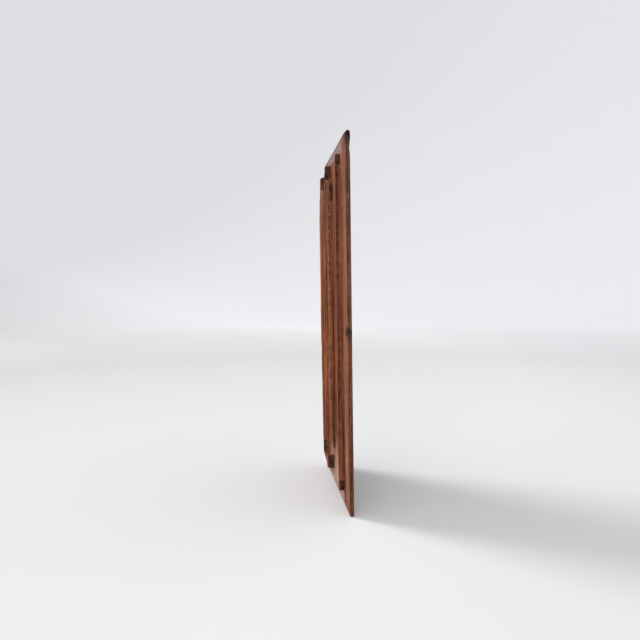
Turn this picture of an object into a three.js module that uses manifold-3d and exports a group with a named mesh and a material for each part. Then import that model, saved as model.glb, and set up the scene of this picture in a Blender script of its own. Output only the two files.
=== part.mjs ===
// Linenfold panel: one oak board with a carved relief of folded cloth.
// Millimetres, +Z up, front towards -Y, origin in the middle of the flat back.

import * as THREE from 'three';
import { mergeVertices } from 'three/addons/utils/BufferGeometryUtils.js';
import Module from 'manifold-3d';

// Board
const PANEL_WIDTH = 225;
const PANEL_HEIGHT = 450;
const BOARD_THICKNESS = 8;
const EDGE_THICKNESS = 5;
const BACK_BEVEL_WIDTH = 32;

// Outer fold, the wide low layer of cloth
const OUTER_HALF_WIDTH = 65.4;
const OUTER_RISE = 6.8;
const OUTER_RISER_SLOPE = 0.8;
const OUTER_SAG = 2;
const OUTER_SAG_STEPS = 10;

// Inner fold, the narrow layer on top of it
const INNER_HALF_WIDTH = 24;
const INNER_RISE = 8.8;
const INNER_RISER_SLOPE = 1.4;

// Channel sunk into the inner fold, and the round rib that stands in it
const CHANNEL_DEPTH = 3;
const CHANNEL_LAND = 0.8;
const RIB_RISE = 4.2;
const RIB_TOP_HALF_WIDTH = 4.5;
const RIB_FOOT_HALF_WIDTH = 13;
const RIB_CROWN = 0.6;
const RIB_SINK = 0.4;
const CURVE_STEPS = 7;

// Distances of the carved ends from the panel's own top and bottom ends
const TOP_ENDS = { outer: 17, outerMiddle: 21.5, inner: 24, innerMiddle: 36.3 };
const BOTTOM_ENDS = { outer: 15.8, outerMiddle: 24, inner: 33.2, innerMiddle: 38.6 };
const LEFT_SHORTFALL = { outer: 2, inner: 8 };
const EAR_WIDTH = 4;
const EAR_FALL_WIDTH = 5;
const RIB_FROM_BOTTOM = 49;
const RIB_NOSE_LENGTH = 5;
const CHANNEL_PAST_RIB = 4;
const CHANNEL_ROUND_LENGTH = 14;

// Corner where a fold's side meets its end: a small step in, then a sweep inwards
const OUTER_CORNER = { length: 13.8, step: 1.5, run: 3.5 };
const INNER_CORNER = { length: 18, step: 1.4, run: 3 };
const CORNER_STEPS = 6;
const END_STEPS = 8;

// Gouged drop-shaped pockets at the foot of the inner fold's sides
const TOP_POCKET = { fromEnd: 45.5, length: 29.5, halfWidth: 3, depth: 4.2 };
const BOTTOM_POCKET = { fromEnd: 61, length: 26, halfWidth: 2.2, depth: 3.2 };
const POCKET_SIDES = 12;
const POCKET_STEPS = 8;

// Worn places on the right edge
const NOTCH = { belowMiddle: 8, halfHeight: 5.8, depth: 8, thicknessLeft: 1.2 };
const NIB = { belowTop: 7.4, halfHeight: 7, depth: 5, thickness: 6.2 };
const LUMP_SIDES = 14;
const LUMP_RINGS = 8;

// Extra length of cutting bodies past what they cut
const OVERCUT = 2;

const wasm = await Module();
wasm.setup();

// Levels of the relief, measured forward from the flat back
const GROUND_LEVEL = BOARD_THICKNESS;
const OUTER_LEVEL = GROUND_LEVEL + OUTER_RISE;
const INNER_LEVEL = OUTER_LEVEL + INNER_RISE;
const CHANNEL_LEVEL = INNER_LEVEL - CHANNEL_DEPTH;
const RIB_LEVEL = INNER_LEVEL + RIB_RISE;
const BURIED_LEVEL = GROUND_LEVEL / 2;

function toManifold(geometry) {
  geometry.deleteAttribute('normal');
  geometry.deleteAttribute('uv');
  const merged = mergeVertices(geometry, 1e-4);
  const vertProperties = Float32Array.from(merged.attributes.position.array);
  const triVerts = Uint32Array.from(merged.index.array);
  return new wasm.Manifold(new wasm.Mesh({ numProp: 3, vertProperties, triVerts }));
}

function toGeometry(solid) {
  const mesh = solid.getMesh();
  const geometry = new THREE.BufferGeometry();
  const positions = new THREE.BufferAttribute(Float32Array.from(mesh.vertProperties), 3);
  geometry.setAttribute('position', positions);
  geometry.setIndex(new THREE.BufferAttribute(Uint32Array.from(mesh.triVerts), 1));
  const faceted = geometry.toNonIndexed();
  faceted.computeVertexNormals();
  return faceted;
}

function extrude(points, depth) {
  const shape = new THREE.Shape(points.map(([x, y]) => new THREE.Vector2(x, y)));
  return new THREE.ExtrudeGeometry(shape, { depth, bevelEnabled: false });
}

// A horizontal section, given as [x, level], carried up the whole height
function uprightPrism(section) {
  const geometry = extrude(section.map(([x, level]) => [x, -level]), PANEL_HEIGHT);
  geometry.translate(0, 0, -PANEL_HEIGHT / 2);
  return toManifold(geometry);
}

// A front outline, given as [x, z], carried forward from the middle of the board
function frontPrism(outline) {
  const geometry = extrude(outline, RIB_LEVEL - BURIED_LEVEL + OVERCUT);
  geometry.rotateX(Math.PI / 2);
  geometry.translate(0, -BURIED_LEVEL, 0);
  return toManifold(geometry);
}

function mirrored(halfSection) {
  const left = halfSection.map(([x, level]) => [-x, level]).reverse();
  return [...halfSection, ...left];
}

// Half circle wave from 1 at t = 0 to 0 at t = 1
function easeDown(t) {
  return (1 + Math.cos(Math.PI * t)) / 2;
}

// Board section with thin edges and a flat back field
function bevelledSection(halfLength) {
  const backSetback = BOARD_THICKNESS - EDGE_THICKNESS;
  return [
    [-halfLength + BACK_BEVEL_WIDTH, 0],
    [-halfLength, backSetback],
    [-halfLength, BOARD_THICKNESS],
    [halfLength, BOARD_THICKNESS],
    [halfLength, backSetback],
    [halfLength - BACK_BEVEL_WIDTH, 0],
  ];
}

function board() {
  const across = uprightPrism(bevelledSection(PANEL_WIDTH / 2));
  const upright = extrude(bevelledSection(PANEL_HEIGHT / 2), PANEL_WIDTH);
  upright.translate(0, 0, -PANEL_WIDTH / 2);
  upright.rotateY(-Math.PI / 2);
  upright.rotateZ(Math.PI);
  const alongHeight = toManifold(upright);
  return across.intersect(alongHeight);
}

// Side of a fold near its end, as [x, distance from the panel's end]
function cornerPoints(halfWidth, end, corner) {
  const points = [[halfWidth, end + corner.length]];
  const sweepLength = corner.length - corner.step;
  for (let i = 0; i <= CORNER_STEPS; i += 1) {
    const t = i / CORNER_STEPS;
    const x = halfWidth - corner.step - corner.run * t ** 2;
    points.push([x, end + sweepLength * (1 - t)]);
  }
  return points;
}

// End line of the outer fold, sweeping from its corner to the inner fold
function outerEndPoints(ends, shortfall) {
  const end = ends.outer + shortfall;
  const middle = Math.max(ends.outerMiddle, end);
  const points = cornerPoints(OUTER_HALF_WIDTH, end, OUTER_CORNER);
  const from = OUTER_HALF_WIDTH - OUTER_CORNER.step - OUTER_CORNER.run;
  for (let i = 1; i <= END_STEPS; i += 1) {
    const t = i / END_STEPS;
    const x = from + (INNER_HALF_WIDTH - from) * t;
    points.push([x, end + (middle - end) * (1 - easeDown(t))]);
  }
  return points;
}

// End line of the inner fold: an upright ear, then a fall to the straight middle
function innerEndPoints(ends, shortfall) {
  const end = ends.inner + shortfall;
  const middle = Math.max(ends.innerMiddle, end);
  const points = cornerPoints(INNER_HALF_WIDTH, end, INNER_CORNER);
  const from = INNER_HALF_WIDTH - INNER_CORNER.step - INNER_CORNER.run - EAR_WIDTH;
  for (let i = 0; i <= END_STEPS; i += 1) {
    const t = i / END_STEPS;
    points.push([from - EAR_FALL_WIDTH * t, end + (middle - end) * (1 - easeDown(t))]);
  }
  return points;
}

// Closed outline from an end line function, for both ends and both sides
function foldOutline(endPoints, shortfall) {
  const place = (side, end) => ([x, distance]) => [side * x, end * (PANEL_HEIGHT / 2 - distance)];
  const topRight = endPoints(TOP_ENDS, 0).map(place(1, 1));
  const topLeft = endPoints(TOP_ENDS, shortfall).map(place(-1, 1)).reverse();
  const bottomLeft = endPoints(BOTTOM_ENDS, shortfall).map(place(-1, -1));
  const bottomRight = endPoints(BOTTOM_ENDS, 0).map(place(1, -1)).reverse();
  return [...topRight, ...topLeft, ...bottomLeft, ...bottomRight];
}

// The outer fold's front sags between its arris and the inner fold
function outerFold() {
  const half = [[OUTER_HALF_WIDTH + OUTER_RISER_SLOPE / 2, BURIED_LEVEL]];
  half.push([OUTER_HALF_WIDTH + OUTER_RISER_SLOPE / 2, GROUND_LEVEL]);
  const arris = OUTER_HALF_WIDTH - OUTER_RISER_SLOPE / 2;
  for (let i = 0; i <= OUTER_SAG_STEPS; i += 1) {
    const t = i / OUTER_SAG_STEPS;
    const x = arris + (INNER_HALF_WIDTH - arris) * t;
    half.push([x, OUTER_LEVEL - OUTER_SAG * Math.sin(Math.PI * t)]);
  }
  const outline = foldOutline(outerEndPoints, LEFT_SHORTFALL.outer);
  return uprightPrism(mirrored(half)).intersect(frontPrism(outline));
}

// The inner fold, with the channel sunk into it and the rib standing in the channel
function innerFold() {
  const half = [
    [INNER_HALF_WIDTH + INNER_RISER_SLOPE, BURIED_LEVEL],
    [INNER_HALF_WIDTH + INNER_RISER_SLOPE, OUTER_LEVEL],
    [INNER_HALF_WIDTH, INNER_LEVEL],
  ];
  const moulded = uprightPrism(mirrored(half)).subtract(channel()).add(rib());
  const outline = foldOutline(innerEndPoints, LEFT_SHORTFALL.inner);
  return moulded.intersect(frontPrism(outline));
}

// Hollow with a flat floor and sides that rise in a quarter wave to the arris
function channel() {
  const half = [];
  const edge = INNER_HALF_WIDTH - CHANNEL_LAND;
  for (let i = 0; i <= CURVE_STEPS; i += 1) {
    const t = i / CURVE_STEPS;
    const x = RIB_FOOT_HALF_WIDTH + (edge - RIB_FOOT_HALF_WIDTH) * t;
    half.push([x, CHANNEL_LEVEL + CHANNEL_DEPTH * (1 - Math.cos((Math.PI / 2) * t))]);
  }
  half.push([edge, RIB_LEVEL + OVERCUT]);
  const section = uprightPrism(mirrored(half));

  const top = PANEL_HEIGHT / 2 + OVERCUT;
  const bottom = -PANEL_HEIGHT / 2 + RIB_FROM_BOTTOM - CHANNEL_PAST_RIB;
  const past = INNER_HALF_WIDTH + OVERCUT;
  const outline = [[past, top], [-past, top]];
  for (let i = 0; i <= 2 * CORNER_STEPS; i += 1) {
    const angle = Math.PI * (i / (2 * CORNER_STEPS));
    const x = -past * Math.cos(angle);
    outline.push([x, bottom + CHANNEL_ROUND_LENGTH * (1 - Math.sin(angle))]);
  }
  return section.intersect(frontPrism(outline));
}

function rib() {
  const half = [[RIB_FOOT_HALF_WIDTH, BURIED_LEVEL]];
  const foot = CHANNEL_LEVEL - RIB_SINK;
  for (let i = 0; i <= CURVE_STEPS; i += 1) {
    const t = 1 - i / CURVE_STEPS;
    const x = RIB_TOP_HALF_WIDTH + (RIB_FOOT_HALF_WIDTH - RIB_TOP_HALF_WIDTH) * t;
    half.push([x, foot + (RIB_LEVEL - RIB_CROWN - foot) * easeDown(t)]);
  }
  half.push([RIB_TOP_HALF_WIDTH / 2, RIB_LEVEL]);
  const top = PANEL_HEIGHT / 2 + OVERCUT;
  const bottom = -PANEL_HEIGHT / 2 + RIB_FROM_BOTTOM;
  const past = RIB_FOOT_HALF_WIDTH + OVERCUT;
  const outline = [
    [past, top],
    [-past, top],
    [-past, bottom + RIB_NOSE_LENGTH],
    [-RIB_TOP_HALF_WIDTH, bottom],
    [RIB_TOP_HALF_WIDTH, bottom],
    [past, bottom + RIB_NOSE_LENGTH],
  ];
  return uprightPrism(mirrored(half)).intersect(frontPrism(outline));
}

// Drop with its round end towards the panel's end and its tail towards the middle
function pocket(side, end, size) {
  const profile = [];
  for (let i = 0; i <= POCKET_STEPS; i += 1) {
    const t = i / POCKET_STEPS;
    const radius = Math.sin(Math.PI * t) * (1 - t) ** 0.6 * 1.25;
    profile.push(new THREE.Vector2(i === POCKET_STEPS ? 0 : radius, -t));
  }
  profile[0].x = 0;
  const geometry = new THREE.LatheGeometry(profile.reverse(), POCKET_SIDES);
  geometry.rotateX(Math.PI / 2);
  geometry.scale(size.halfWidth, size.depth, size.length);
  if (end < 0) geometry.rotateY(Math.PI);
  const z = end * (PANEL_HEIGHT / 2 - size.fromEnd);
  geometry.translate(side * (INNER_HALF_WIDTH + INNER_RISER_SLOPE), -OUTER_LEVEL, z);
  return toManifold(geometry);
}

function lump(halfDepth, halfThickness, halfHeight, x, level, z) {
  const geometry = new THREE.SphereGeometry(1, LUMP_SIDES, LUMP_RINGS);
  geometry.rotateX(Math.PI / 2);
  geometry.scale(halfDepth, halfThickness, halfHeight);
  geometry.translate(x, -level, z);
  return toManifold(geometry);
}

// Bruise in the front of the right edge, near mid-height
function notch() {
  const depth = EDGE_THICKNESS - NOTCH.thicknessLeft;
  return lump(NOTCH.depth, depth, NOTCH.halfHeight, PANEL_WIDTH / 2, GROUND_LEVEL, -NOTCH.belowMiddle);
}

// Rounded thicker end of the right edge, at the top corner
function nib() {
  const x = PANEL_WIDTH / 2 - NIB.depth;
  const level = GROUND_LEVEL - EDGE_THICKNESS / 2;
  const z = PANEL_HEIGHT / 2 - NIB.belowTop;
  return lump(NIB.depth, NIB.thickness / 2, NIB.halfHeight, x, level, z);
}

function linenfoldPanel() {
  let solid = board().add(outerFold()).add(innerFold());
  for (const side of [1, -1]) {
    solid = solid.subtract(pocket(side, 1, TOP_POCKET));
    solid = solid.subtract(pocket(side, -1, BOTTOM_POCKET));
  }
  return solid.subtract(notch()).add(nib());
}

const oak = new THREE.MeshStandardMaterial({ color: 0x7a4d38, roughness: 0.55, metalness: 0 });
const panel = new THREE.Mesh(toGeometry(linenfoldPanel()), oak);
panel.name = 'linenfold_panel';

const object = new THREE.Group();
object.add(panel);

export default object;
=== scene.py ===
# Linenfold panel: the carved surface in fine mesh, its old oak, and the light and camera around it.
import functools
import math

import bmesh
import bpy
import numpy as np
from mathutils import Matrix, Vector


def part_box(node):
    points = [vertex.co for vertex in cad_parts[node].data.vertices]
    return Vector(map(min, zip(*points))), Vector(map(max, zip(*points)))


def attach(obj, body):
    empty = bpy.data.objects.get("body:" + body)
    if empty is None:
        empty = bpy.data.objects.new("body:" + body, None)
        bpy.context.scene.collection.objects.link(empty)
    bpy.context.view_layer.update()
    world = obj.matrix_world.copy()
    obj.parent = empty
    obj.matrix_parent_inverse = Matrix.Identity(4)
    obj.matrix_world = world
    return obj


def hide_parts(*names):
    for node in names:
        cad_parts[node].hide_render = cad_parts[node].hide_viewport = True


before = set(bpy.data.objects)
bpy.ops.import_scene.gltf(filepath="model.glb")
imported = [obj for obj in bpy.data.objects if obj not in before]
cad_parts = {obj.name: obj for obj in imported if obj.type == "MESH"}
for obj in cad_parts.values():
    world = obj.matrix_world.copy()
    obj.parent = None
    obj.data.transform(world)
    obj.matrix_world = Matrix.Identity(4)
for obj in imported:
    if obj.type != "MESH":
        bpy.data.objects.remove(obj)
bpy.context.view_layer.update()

panel_low, panel_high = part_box("linenfold_panel")

# Lengths of the carving are in millimetres until the mesh is made
MM = 0.001
HALF_WIDTH = (panel_high[0] - panel_low[0]) / MM / 2
HALF_HEIGHT = (panel_high[2] - panel_low[2]) / MM / 2
RIB_LEVEL = (panel_high[1] - panel_low[1]) / MM
GROUND_LEVEL = 8.0
EDGE_THICKNESS = 5.0
BACK_BEVEL = 32.0

OUTER_HALF = 65.4
OUTER_FOOT = 0.8
OUTER_COVE = 5.4
OUTER_LEVEL = GROUND_LEVEL + 6.8
OUTER_SAG = 2.0
INNER_HALF = 24.0
INNER_FOOT = 1.4
INNER_LEDGE_FOOT = 2.9
INNER_LEVEL = OUTER_LEVEL + 8.8

CHANNEL_LEVEL = INNER_LEVEL - 3.0
CHANNEL_LAND = 0.8
RIB_TOP_HALF = 4.5
RIB_FOOT_HALF = 13.0
RIB_CROWN = 0.6
RIB_SINK = 0.4
RIB_FROM_BOTTOM = 49.0
# Level of the rib's worn crown along the panel, from the bottom up
RIB_CROWN_LEVELS = [
    (-176, 26.2), (-145, 26.5), (-130, 26.75), (-94, 27.05), (-78, 26.85), (-62, 27.3), (-38, 27.0),
    (-18, 27.5), (29, 27.45), (83, 27.7), (134, 27.7), (158, 27.3), (170, 26.6), (190, 26.4),
]
RIB_NOSE = 5.0
CHANNEL_PAST_RIB = 4.0
CHANNEL_ROUND = 14.0
CHANNEL_RUNOUT = 3.0

# Distances of the fold ends from the panel's own ends
TOP_ENDS = {"outer": 17.0, "outer_middle": 21.5, "inner": 24.0, "inner_middle": 36.3}
BOTTOM_ENDS = {"outer": 15.8, "outer_middle": 24.0, "inner": 33.2, "inner_middle": 38.6}
LEFT_SHORTFALL = {"outer": 2.0, "inner": 8.0}
OUTER_CORNER = {"length": 13.8, "step": 1.5, "run": 3.5}
INNER_CORNER = {"length": 18.0, "step": 1.4, "run": 3.0}
EAR_WIDTH = 4.0
EAR_FALL = 5.0
END_FOOT = 0.5

TOP_POCKET = {"from_end": 44.5, "length": 31.0, "in": 2.2, "out": 9.0, "up": 4.0, "depth": 3.6}
BOTTOM_POCKET = {"from_end": 58.0, "length": 30.0, "in": 1.2, "out": 3.0, "up": 2.2, "depth": 2.0}

NOTCH = {"z": -8.6, "half_height": 6.3, "reach": 10.0, "depth": 4.0}
CHIP = {"x": 95.0, "z": -163.0, "half_width": 6.0, "half_height": 2.4, "rise": 1.2}
NIB = {"z": HALF_HEIGHT - 7.4, "half_height": 7.0, "inset": 4.0, "reach": 5.0, "swell": 0.55}

# Waist in the back below the swollen corner, and the rounding of the panel's top end over it
WAIST = {"from_top": 19.0, "half_height": 6.0, "reach": 6.0, "depth": 0.9}
CORNER_ROUND = {"reach": 8.0, "height": 7.0, "level": 5.5, "half_thickness": 3.1, "fall": 2.6, "power": 2.2}

# Worn arrises: how wide they are rounded and what share of the height they lose
ARRIS_ROUND = 1.0
ARRIS_DROP = 0.07
# Share of the rise and share of the height of the ledge on the inner fold's riser, from its foot up
LEDGE_PROFILE = [(0, 0), (0.10, 0.30), (0.16, 0.38), (0.80, 0.74), (0.88, 0.82), (1, 1)]
# Length along z over which a chopped block turns into the moulded riser
BLOCK_RUNOUT = 1.6

# Where grid lines are packed: offsets outwards from an arris line, and outside and inside an end line
SIDE_BAND = {"inner": (-0.9, 3.2, 4.6), "outer": (-1.1, 1.0, 6.5)}
END_BAND = (0.8, 1.1)
DETAILED_END = 90.0
FRONT_INSET = 0.8
KNOT_GAP = 0.15


def ease(t):
    """Half wave from 0 at t = 0 to 1 at t = 1, flat outside."""
    return (1 - np.cos(np.pi * np.clip(t, 0, 1))) / 2


def near(value, centre, width):
    """1 at the centre, falling to 0 at the width from it."""
    return 1 - ease(np.abs(value - centre) / width)


def lattice_noise(u, v, seed):
    """Smooth noise from -1 to 1, with one independent value for each whole step of u and v."""
    size = 128
    table = np.random.default_rng(seed).uniform(-1, 1, (size, size))
    cell_u, cell_v = np.floor(u).astype(int), np.floor(v).astype(int)
    part_u, part_v = ease(u - cell_u), ease(v - cell_v)

    def corner(step_u, step_v):
        return table[(cell_u + step_u) % size, (cell_v + step_v) % size]

    low = corner(0, 0) * (1 - part_u) + corner(1, 0) * part_u
    high = corner(0, 1) * (1 - part_u) + corner(1, 1) * part_u
    return low * (1 - part_v) + high * part_v


def from_top(z):
    return HALF_HEIGHT - z


def from_bottom(z):
    return HALF_HEIGHT + z


# Lines of the carving


def corner_inset(distance, end, corner):
    """How far a fold's side stands in from its plain line, near one of its ends."""
    step = ease((end + corner["length"] - distance) / corner["step"])
    sweep = np.clip(1 - (distance - end) / (corner["length"] - corner["step"]), 0, 1)
    return corner["step"] * step + corner["run"] * sweep ** 2


def side_line(name, x, z):
    """Distance of a fold's arris from the centre line, on the side where x lies."""
    half, corner = (OUTER_HALF, OUTER_CORNER) if name == "outer" else (INNER_HALF, INNER_CORNER)
    shortfall = np.where(x < 0, LEFT_SHORTFALL[name], 0)
    seed = np.where(x < 0, 7.5, 0.5) + (20 if name == "inner" else 0)
    wander = 0.22 * lattice_noise(z / 21, seed, 11) + 0.12 * lattice_noise(z / 6, seed, 12)
    inset = corner_inset(from_top(z), TOP_ENDS[name] + shortfall, corner)
    inset = inset + corner_inset(from_bottom(z), BOTTOM_ENDS[name] + shortfall, corner)
    return half - inset + wander


def outer_end(x, ends):
    """Distance of the outer fold's end line from the panel's end."""
    end = ends["outer"] + np.where(x < 0, LEFT_SHORTFALL["outer"], 0)
    middle = np.maximum(ends["outer_middle"], end)
    start = OUTER_HALF - OUTER_CORNER["step"] - OUTER_CORNER["run"]
    wander = 0.25 * lattice_noise(x / 9, ends["outer"] + 0 * x, 13)
    return end + (middle - end) * ease((start - np.abs(x)) / (start - INNER_HALF)) + wander


def inner_end(x, ends):
    """Distance of the inner fold's end line from the panel's end: two ears and a straight middle."""
    left = ends["inner"] + LEFT_SHORTFALL["inner"]
    end = np.where(x < 0, left, ends["inner"])
    middle_right = max(ends["inner_middle"], ends["inner"])
    middle_left = max(ends["inner_middle"], left)
    ear = INNER_HALF - INNER_CORNER["step"] - INNER_CORNER["run"] - EAR_WIDTH
    straight = ear - EAR_FALL
    across = np.clip((x + straight) / (2 * straight), 0, 1)
    middle = middle_left + (middle_right - middle_left) * across
    wander = 0.2 * lattice_noise(x / 6, ends["inner"] + 0 * x, 14)
    return end + (middle - end) * ease((ear - np.abs(x)) / EAR_FALL) + wander


def steepness(line, x, ends):
    """How much longer a step along z is than the same step across the end line."""
    step = 0.2
    slope = (line(x + step, ends) - line(x - step, ends)) / (2 * step)
    return np.minimum(np.sqrt(1 + slope ** 2), 3.0)


# Heights of the carving


def upright(rise):
    """Profile of a chopped side: nearly straight."""
    return (rise + ease(rise)) / 2


def cove(rise):
    """Profile of a hollow moulding, steep at its top and running out at its foot."""
    return 1 - (1 - rise ** 2) ** 0.55


def ledge(rise):
    """Profile of a side with a sloping ledge halfway up."""
    return np.interp(rise, *zip(*LEDGE_PROFILE))


def wall(inside, foot, worn, profile=upright):
    """Share of a fold's height at a distance inside its arris line, from its foot to its round arris."""
    side = profile(np.clip((inside + foot) / foot, 0, 1))
    top = 1 - (1 - np.clip(inside / ARRIS_ROUND, 0, 1)) ** 2
    return (1 - worn) * side + worn * top


def distances_inside(name, x, z):
    """Distances inside a fold's side line and inside its nearer end line."""
    line = outer_end if name == "outer" else inner_end
    top = (from_top(z) - line(x, TOP_ENDS)) / steepness(line, x, TOP_ENDS)
    bottom = (from_bottom(z) - line(x, BOTTOM_ENDS)) / steepness(line, x, BOTTOM_ENDS)
    return side_line(name, x, z) - np.abs(x), np.minimum(top, bottom)


def fold_share(name, x, z):
    """Share of a fold's height at x and z: 0 outside the fold, 1 on it."""
    side, end = distances_inside(name, x, z)
    bruise = lattice_noise(z / 5, x / 30 + 3, 15) + 0.6 * lattice_noise(z / 2.2, x / 30, 16)
    worn = ARRIS_DROP * (1 + 1.1 * np.maximum(bruise, -0.6))
    if name == "outer":
        chopped, moulded = wall(side, OUTER_FOOT, worn), wall(side, OUTER_COVE, worn, cove)
        length = OUTER_CORNER["length"]
    else:
        chopped, moulded = wall(side, INNER_FOOT, worn), wall(side, INNER_LEDGE_FOOT, worn, ledge)
        length = INNER_CORNER["length"]
    past_block = ease((end - length - 0.2) / BLOCK_RUNOUT)
    return np.minimum(chopped + (moulded - chopped) * past_block, wall(end, END_FOOT, worn))


def rib_height(z):
    """Level of the rib's worn crown."""
    return np.interp(z, *zip(*RIB_CROWN_LEVELS)) + 0.12 * lattice_noise(z / 5, 0.5 + 0 * z, 17)


def inner_front(x, z):
    """Level of the inner fold's front: channel, rib and the hem below the channel."""
    across = np.abs(x)
    edge = INNER_HALF - CHANNEL_LAND
    hollow = 1 - np.cos(np.pi / 2 * np.clip((across - RIB_FOOT_HALF) / (edge - RIB_FOOT_HALF), 0, 1))
    channel = CHANNEL_LEVEL + (INNER_LEVEL - CHANNEL_LEVEL) * hollow
    bow = 1 - np.sqrt(1 - np.clip(across / (INNER_HALF + 2), 0, 1) ** 2)
    channel_end = RIB_FROM_BOTTOM - CHANNEL_PAST_RIB + CHANNEL_ROUND * bow
    open_share = ease((from_bottom(z) - channel_end) / CHANNEL_RUNOUT)
    level = INNER_LEVEL - (INNER_LEVEL - channel) * open_share

    crown = rib_height(z) - RIB_CROWN * np.clip(across / RIB_TOP_HALF, 0, 1) ** 2
    fall = 1 - ease((across - RIB_TOP_HALF) / (RIB_FOOT_HALF - RIB_TOP_HALF))
    nose = RIB_FROM_BOTTOM + RIB_NOSE * np.clip((across - RIB_TOP_HALF) / RIB_FOOT_HALF, 0, 1)
    nose_share = wall(from_bottom(z) - nose - 1, foot=2.0, worn=0.12)
    rib = CHANNEL_LEVEL - RIB_SINK + (crown - CHANNEL_LEVEL + RIB_SINK) * fall * nose_share
    return np.maximum(level, rib)


def outer_front(x):
    """Level of the outer fold's sagging front."""
    t = np.clip((OUTER_HALF - np.abs(x)) / (OUTER_HALF - INNER_HALF), 0, 1)
    return OUTER_LEVEL - OUTER_SAG * np.sin(np.pi * t)


def cut_pocket(x, level, distance, size):
    """Cuts a drop-shaped pocket into the foot of the inner fold and the front beside it.

    Gives the new x and level, the share of the full depth, and how near each point is to the pocket's outer lip.
    """
    t = np.clip((distance - size["from_end"]) / size["length"], 0, 1)
    ragged = 1 + 0.12 * lattice_noise(distance / 3, 0.5 + 0 * x, 18)
    radius = np.maximum(1.25 * (1 - (1 - t) ** 5) * (1 - t) ** 0.9 * ragged, 1e-6)
    outward = np.abs(x) - INNER_HALF - INNER_LEDGE_FOOT
    across = outward / (size["out"] * radius)
    along = (level - OUTER_LEVEL) / (size["up"] * radius)
    open_here = radius > 0.03
    on_front = open_here & (outward >= 0) & (across < 1)
    on_riser = open_here & (outward < 0) & (outward > -INNER_LEDGE_FOOT - 1) & (along < 1)
    drop = np.where(on_front, size["depth"] * radius * np.sqrt(np.maximum(1 - across ** 2, 0)), 0)
    shift = np.where(on_riser, size["in"] * radius * np.sqrt(np.clip(1 - along ** 2, 0, 1)), 0)
    depth_share = np.maximum(drop / size["depth"], shift / size["in"])
    lip = near(across, 1.3, 0.4) * open_here * (outward > 0)
    return x - np.sign(x) * shift, level - drop, depth_share, lip


def notch_floor(x, z):
    """Level of the bruised notch in the right edge, or well above the carving outside it."""
    rough = 1 + 0.12 * lattice_noise(x / 2.1, z / 2.3, 19)
    hollow = 1 - ((HALF_WIDTH - x) / NOTCH["reach"]) ** 2 - ((z - NOTCH["z"]) / NOTCH["half_height"]) ** 2
    floor = GROUND_LEVEL - NOTCH["depth"] * rough * np.sqrt(np.maximum(hollow, 0))
    return np.where(hollow > 0, floor, 2 * RIB_LEVEL)


def nib_swell(x, z):
    """How far the swollen top corner of the right edge stands out, front and back."""
    along = (z - NIB["z"]) / NIB["half_height"]
    across = (HALF_WIDTH - NIB["inset"] - x) / NIB["reach"]
    return NIB["swell"] * np.exp(-(along ** 4) - across ** 2)


def chip_share(x, z):
    """1 on the little raised splinter low on the right margin, falling to 0 round it."""
    across, along = (x - CHIP["x"]) / CHIP["half_width"], (z - CHIP["z"]) / CHIP["half_height"]
    return np.exp(-(across ** 2) - along ** 2)


def tool_marks(x, z):
    """Shallow flutes left by planes and gouges along the fibres, and the fibres themselves."""
    flutes = 0.11 * lattice_noise(x / 6.5, z / 75, 21) + 0.05 * lattice_noise(x / 2.6, z / 42, 22)
    swell = 0.12 * lattice_noise(x / 38, z / 26, 23) + 0.05 * lattice_noise(x / 9, z / 8, 24)
    fibres = 0.04 * lattice_noise(x / 1.1, z / 30, 25)
    return flutes + swell + fibres


def front_level(x, z):
    """Level of the whole carved front."""
    level = GROUND_LEVEL + (outer_front(x) - GROUND_LEVEL) * fold_share("outer", x, z)
    level = level + (inner_front(x, z) - level) * fold_share("inner", x, z)
    level = level + nib_swell(x, z) + tool_marks(x, z) + CHIP["rise"] * chip_share(x, z)
    return np.minimum(np.minimum(level, notch_floor(x, z)), RIB_LEVEL)


def side_marks(x, z, level):
    """How far the risers wander from plain upright planes: cuts of the gouge along them."""
    on_riser = np.zeros_like(x)
    for name, foot in (("inner", INNER_FOOT), ("outer", OUTER_FOOT)):
        side = side_line(name, x, z) - np.abs(x)
        on_riser = np.maximum(on_riser, near(side, -foot / 2, foot / 2 + 0.8))
    marks = 0.16 * lattice_noise(level / 1.5, z / 24, 26) + 0.1 * lattice_noise(level / 0.8, z / 9, 27)
    return on_riser * marks


def back_level(x, z):
    """Level of the back: a flat field, bevelled edges, shallow plane marks and the waist below the corner."""
    inset = np.minimum(HALF_WIDTH - np.abs(x), HALF_HEIGHT - np.abs(z))
    bevel = (GROUND_LEVEL - EDGE_THICKNESS) * np.clip(1 - inset / BACK_BEVEL, 0, 1)
    scallops = 0.11 * (1 + lattice_noise(x / 14, z / 55, 31)) + 0.05 * (1 + lattice_noise(x / 5, z / 30, 32))
    scallops = scallops * (0.2 + 0.8 * ease(inset / 8))
    along, across = (z - HALF_HEIGHT + WAIST["from_top"]) / WAIST["half_height"], (HALF_WIDTH - x) / WAIST["reach"]
    waist = WAIST["depth"] * np.exp(-(along ** 2) - across ** 2)
    return bevel + scallops + waist - nib_swell(x, z)


# Grid of the front: its lines run along the carved lines


def stretch(start, end, step):
    """Evenly spaced values from start up to, but not including, end."""
    count = max(1, round(abs(end - start) / step))
    return list(start + (end - start) * np.arange(count) / count)


def lines_between(knots, steps):
    """Grid lines from the first knot to the last, with its own spacing between each pair of knots."""
    values = []
    for start, end, step in zip(knots, knots[1:], steps):
        values += stretch(start, end, step)
    return np.array(values + [knots[-1]])


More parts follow.
